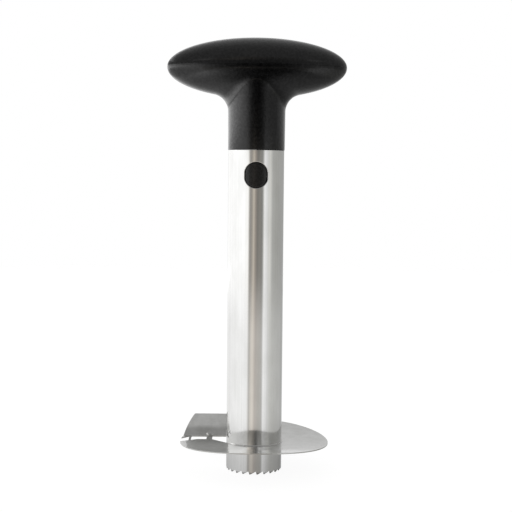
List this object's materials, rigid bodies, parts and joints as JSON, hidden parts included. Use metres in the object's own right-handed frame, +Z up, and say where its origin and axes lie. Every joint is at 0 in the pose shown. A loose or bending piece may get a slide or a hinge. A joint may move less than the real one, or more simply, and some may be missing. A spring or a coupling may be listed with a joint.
{
  "type": "pineapple corer",
  "caption": "Twist-in fruit corer: serrated steel tube with a flapped slicing disc near its foot and an oval cross handle that unlatches with side buttons.",
  "frame": {"origin": "on the tube's axis, in the plane of the tooth tips", "axes": "+Z up the tube to the handle, +X to the right along the handle, -Y to the front button"},
  "size_m": [0.102, 0.0856, 0.247],
  "materials": {
    "tube_steel": "polished with fine lines along the tube",
    "blade_steel": "satin",
    "weld_steel": "as welded",
    "handle_plastic": "matt, fine grain",
    "plug_plastic": "matt",
    "button_plastic": "matt",
    "screw_steel": "plated"
  },
  "bodies": {
    "corer": {"core_tube": "tube_steel", "slicing_blade": "blade_steel", "blade_weld": "weld_steel"},
    "handle": {"handle_lower_shell": "handle_plastic", "handle_upper_shell": "handle_plastic", "coupling_plug": "plug_plastic", "handle_screws": "screw_steel"},
    "front_button": {"front_button_tongue": "button_plastic"},
    "rear_button": {"rear_button_tongue": "button_plastic"}
  },
  "joints": [
    {"name": "handle_lift", "type": "slide", "parent": "corer", "child": "handle", "axis": [0, 0, 1], "range_m": [0, 0.055], "deforming": ["front_button_tongue", "rear_button_tongue"]},
    {"name": "front_button_press", "type": "hinge", "parent": "handle", "child": "front_button", "pos_m": [0, -0.0099, 0.1456], "axis": [-1, 0, 0], "range_deg": [0, 5], "stiffness_Nm_per_rad": 1.9},
    {"name": "rear_button_press", "type": "hinge", "parent": "handle", "child": "rear_button", "pos_m": [0, 0.0099, 0.1456], "axis": [1, 0, 0], "range_deg": [0, 5], "stiffness_Nm_per_rad": 1.9}
  ]
}
